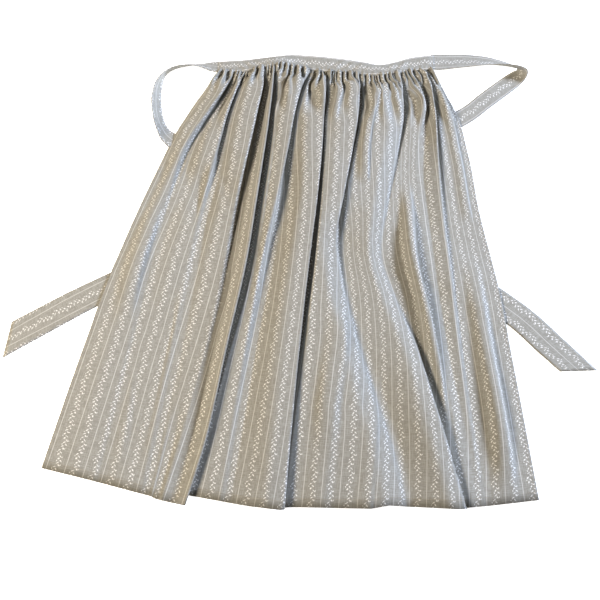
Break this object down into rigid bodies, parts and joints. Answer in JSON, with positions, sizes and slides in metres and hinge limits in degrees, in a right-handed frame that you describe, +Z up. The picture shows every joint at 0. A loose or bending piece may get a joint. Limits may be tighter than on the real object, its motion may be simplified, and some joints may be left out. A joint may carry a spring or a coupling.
{
  "type": "gathered half apron",
  "caption": "Waist apron of striped woven cotton, laid flat: a gathered skirt on a narrow waistband, with long doubled ties looped back and crossed under the skirt.",
  "frame": {"origin": "on the table, under the middle of the seam where the skirt meets the waistband", "axes": "+X across the apron towards its right end as laid, +Y from the hem to the waistband, +Z up from the table, out of the cloth's face"},
  "size_m": [1.05, 0.9223, 0.0295],
  "materials": {
    "skirt_cloth": "fine plain-woven taupe cotton with thin pale lines and trailing leafy vine stripes along its length",
    "waistband_cloth": "the same taupe cotton, folded and pressed, with a vine stripe along its middle",
    "tie_cloth": "the same taupe cotton, folded double, with the stripes along the tie",
    "thread": "pale cotton sewing thread"
  },
  "bodies": {
    "waistband": {"waistband": "waistband_cloth", "waistband_topstitching": "thread", "gathered_heading": "skirt_cloth", "gathering_threads": "thread", "left_tie_seam": "thread", "right_tie_seam": "thread", "left_tie_root": "tie_cloth", "right_tie_root": "tie_cloth", "left_tie_run": "tie_cloth", "right_tie_run": "tie_cloth"},
    "skirt": {"skirt_panel": "skirt_cloth", "bottom_hem": "skirt_cloth", "left_side_hem": "skirt_cloth", "right_side_hem": "skirt_cloth", "bottom_hem_stitching": "thread", "side_hem_stitching": "thread"},
    "left_loop": {"left_tie_outgoing": "tie_cloth", "left_tie_return": "tie_cloth"},
    "right_loop": {"right_tie_outgoing": "tie_cloth", "right_tie_return": "tie_cloth"},
    "left_tie_end": {"left_tie_tail": "tie_cloth"},
    "right_tie_end": {"right_tie_tail": "tie_cloth"}
  },
  "joints": [
    {"name": "skirt_fold", "type": "hinge", "parent": "waistband", "child": "skirt", "pos_m": [0, -0.022, 0.0095], "axis": [-1, 0, 0], "range_deg": [0, 90]},
    {"name": "left_loop_lift", "type": "hinge", "parent": "waistband", "child": "left_loop", "pos_m": [-0.229, 0.04, 0.006], "axis": [0.4231, 0.9061, 0], "range_deg": [0, 45]},
    {"name": "right_loop_lift", "type": "hinge", "parent": "waistband", "child": "right_loop", "pos_m": [0.229, 0.045, 0.006], "axis": [0.3016, -0.9534, 0], "range_deg": [0, 45]},
    {"name": "left_end_lift", "type": "hinge", "parent": "waistband", "child": "left_tie_end", "pos_m": [0.345, -0.543, 0.0016], "axis": [-0.7552, -0.6555, 0], "range_deg": [0, 100]},
    {"name": "right_end_lift", "type": "hinge", "parent": "waistband", "child": "right_tie_end", "pos_m": [-0.45, -0.505, 0.0016], "axis": [-0.5343, 0.8453, 0], "range_deg": [0, 100]}
  ]
}
